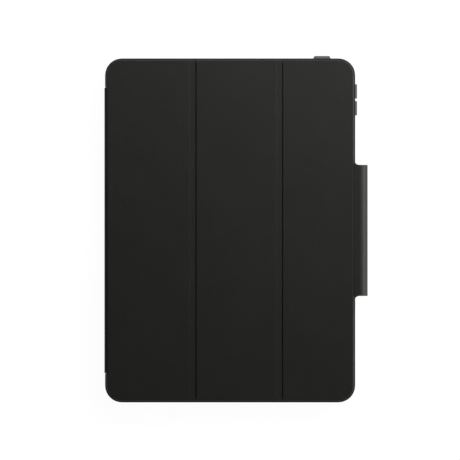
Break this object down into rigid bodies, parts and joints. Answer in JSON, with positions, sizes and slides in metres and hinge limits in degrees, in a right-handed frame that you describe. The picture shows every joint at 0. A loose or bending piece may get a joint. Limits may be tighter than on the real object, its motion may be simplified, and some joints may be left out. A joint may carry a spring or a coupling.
{
  "type": "tablet keyboard case",
  "caption": "Closed folio case for a tablet: moulded tray, three-panel folding cover, wrap-round clasp that holds a pencil, and a slim keyboard stowed inside.",
  "frame": {"origin": "middle of the outer face of the back, which the closed case rests on", "axes": "+Z from the back out through the front cover, +Y to the tablet's top edge, +X to the clasp side, -X to the spine"},
  "size_m": [0.1937, 0.2551, 0.0168],
  "materials": {
    "cover_leather": "matte fine-grained synthetic leather, near black",
    "hinge_web": "matte pressed synthetic leather at a bend",
    "stiff_board": "raw grey fibre-filled board",
    "soft_lining": "short napped microfibre, dark grey",
    "bumper": "satin moulded flexible plastic, near black",
    "camera_trim": "satin moulded ring, near black",
    "magnet": "nickel-plated magnet",
    "button": "satin moulded button, mid grey",
    "keyboard_shell": "fine blasted and dyed dark grey",
    "keyboard_top": "fine textured moulding, dark grey",
    "dome_rubber": "translucent white silicone",
    "circuit_film": "amber printed film",
    "battery_foil": "crimped foil pouch",
    "circuit_board": "green circuit board",
    "port_metal": "plated port shell",
    "foot_rubber": "matte soft pad",
    "screw_steel": "plated steel",
    "light_lens": "small frosted light pipe",
    "key_cap": "fine matte key cap, near black, plain legends",
    "pad_surface": "satin glass-like touch surface",
    "switch_knob": "satin grey knob"
  },
  "bodies": {
    "tray": {"tray_bumper": "bumper", "back_skin": "cover_leather", "back_board": "stiff_board", "tray_liner": "soft_lining", "camera_frame": "camera_trim", "keeper_magnets": "magnet", "dock_magnets": "magnet", "back_hinge_strip": "hinge_web"},
    "spine": {"spine_skin": "cover_leather", "spine_board": "stiff_board", "spine_lining": "soft_lining", "front_hinge_strip": "hinge_web"},
    "left_panel": {"left_panel_skin": "cover_leather", "left_panel_board": "stiff_board", "left_panel_lining": "soft_lining", "left_panel_magnets": "magnet", "left_fold_strip": "hinge_web"},
    "middle_panel": {"middle_panel_skin": "cover_leather", "middle_panel_board": "stiff_board", "middle_panel_lining": "soft_lining", "right_fold_strip": "hinge_web"},
    "right_panel": {"right_panel_skin": "cover_leather", "right_panel_board": "stiff_board", "right_panel_lining": "soft_lining", "right_panel_magnets": "magnet", "clasp_hinge_strip": "hinge_web"},
    "clasp": {"clasp_strap": "cover_leather", "clasp_board": "stiff_board", "clasp_lining": "soft_lining", "clasp_magnets": "magnet"},
    "power_button": {"power_button": "button"},
    "volume_up_button": {"volume_up_button": "button"},
    "volume_down_button": {"volume_down_button": "button"},
    "keyboard": {"keyboard_base": "keyboard_shell", "keyboard_deck": "keyboard_top", "dome_sheet": "dome_rubber", "key_circuit": "circuit_film", "battery_cells": "battery_foil", "controller_board": "circuit_board", "charging_port": "port_metal", "keyboard_feet": "foot_rubber", "keyboard_magnets": "magnet", "deck_screws": "screw_steel", "status_lights": "light_lens"},
    "function_keys": {"function_keys": "key_cap"},
    "number_keys": {"number_keys": "key_cap"},
    "upper_letter_keys": {"upper_letter_keys": "key_cap"},
    "home_keys": {"home_keys": "key_cap"},
    "lower_letter_keys": {"lower_letter_keys": "key_cap"},
    "modifier_keys": {"modifier_keys": "key_cap"},
    "space_bar": {"space_bar": "key_cap"},
    "trackpad": {"trackpad": "pad_surface"},
    "power_switch": {"power_switch": "switch_knob"}
  },
  "joints": [
    {"name": "spine_hinge", "type": "hinge", "parent": "tray", "child": "spine", "pos_m": [-0.09245, 0, 0], "axis": [0, 1, 0], "range_deg": [-90, 0], "deforming": ["back_hinge_strip"]},
    {"name": "cover_hinge", "type": "hinge", "parent": "spine", "child": "left_panel", "pos_m": [-0.0922, 0, 0.0167], "axis": [0, -1, 0], "range_deg": [0, 150], "deforming": ["front_hinge_strip"]},
    {"name": "left_fold", "type": "hinge", "parent": "left_panel", "child": "middle_panel", "pos_m": [-0.0252, 0, 0.0168], "axis": [0, 1, 0], "range_deg": [-115, 0], "deforming": ["left_fold_strip"]},
    {"name": "right_fold", "type": "hinge", "parent": "middle_panel", "child": "right_panel", "pos_m": [0.0385, 0, 0.0168], "axis": [0, -1, 0], "range_deg": [0, 115], "deforming": ["right_fold_strip"]},
    {"name": "clasp_hinge", "type": "hinge", "parent": "right_panel", "child": "clasp", "pos_m": [0.09075, 0, 0.0168], "axis": [0, 1, 0], "range_deg": [-175, 0], "deforming": ["clasp_hinge_strip"]},
    {"name": "power_press", "type": "slide", "parent": "tray", "child": "power_button", "axis": [0, -1, 0], "range_m": [0, 0.0005], "stiffness_N_per_m": 400, "springref_m": -0.0008},
    {"name": "volume_up_press", "type": "slide", "parent": "tray", "child": "volume_up_button", "axis": [-1, 0, 0], "range_m": [0, 0.0005], "stiffness_N_per_m": 400, "springref_m": -0.0008},
    {"name": "volume_down_press", "type": "slide", "parent": "tray", "child": "volume_down_button", "axis": [-1, 0, 0], "range_m": [0, 0.0005], "stiffness_N_per_m": 400, "springref_m": -0.0008},
    {"name": "keyboard_lift_out", "type": "slide", "parent": "tray", "child": "keyboard", "axis": [0, 1, 0], "range_m": [0, 0.26]},
    {"name": "function_press", "type": "slide", "parent": "keyboard", "child": "function_keys", "axis": [0, 0, -1], "range_m": [0, 0.001], "stiffness_N_per_m": 400, "springref_m": -0.001, "deforming": ["dome_sheet"]},
    {"name": "number_press", "type": "slide", "parent": "keyboard", "child": "number_keys", "axis": [0, 0, -1], "range_m": [0, 0.001], "stiffness_N_per_m": 400, "springref_m": -0.001, "deforming": ["dome_sheet"]},
    {"name": "upper_letter_press", "type": "slide", "parent": "keyboard", "child": "upper_letter_keys", "axis": [0, 0, -1], "range_m": [0, 0.001], "stiffness_N_per_m": 400, "springref_m": -0.001, "deforming": ["dome_sheet"]},
    {"name": "home_press", "type": "slide", "parent": "keyboard", "child": "home_keys", "axis": [0, 0, -1], "range_m": [0, 0.001], "stiffness_N_per_m": 400, "springref_m": -0.001, "deforming": ["dome_sheet"]},
    {"name": "lower_letter_press", "type": "slide", "parent": "keyboard", "child": "lower_letter_keys", "axis": [0, 0, -1], "range_m": [0, 0.001], "stiffness_N_per_m": 400, "springref_m": -0.001, "deforming": ["dome_sheet"]},
    {"name": "modifier_press", "type": "slide", "parent": "keyboard", "child": "modifier_keys", "axis": [0, 0, -1], "range_m": [0, 0.001], "stiffness_N_per_m": 400, "springref_m": -0.001, "deforming": ["dome_sheet"]},
    {"name": "space_bar_press", "type": "slide", "parent": "keyboard", "child": "space_bar", "axis": [0, 0, -1], "range_m": [0, 0.001], "stiffness_N_per_m": 400, "springref_m": -0.001, "deforming": ["dome_sheet"]},
    {"name": "trackpad_press", "type": "slide", "parent": "keyboard", "child": "trackpad", "axis": [0, 0, -1], "range_m": [0, 0.0003], "stiffness_N_per_m": 1200, "springref_m": -0.0006},
    {"name": "power_switch_slide", "type": "slide", "parent": "keyboard", "child": "power_switch", "axis": [0, 1, 0], "range_m": [0, 0.003]}
  ]
}
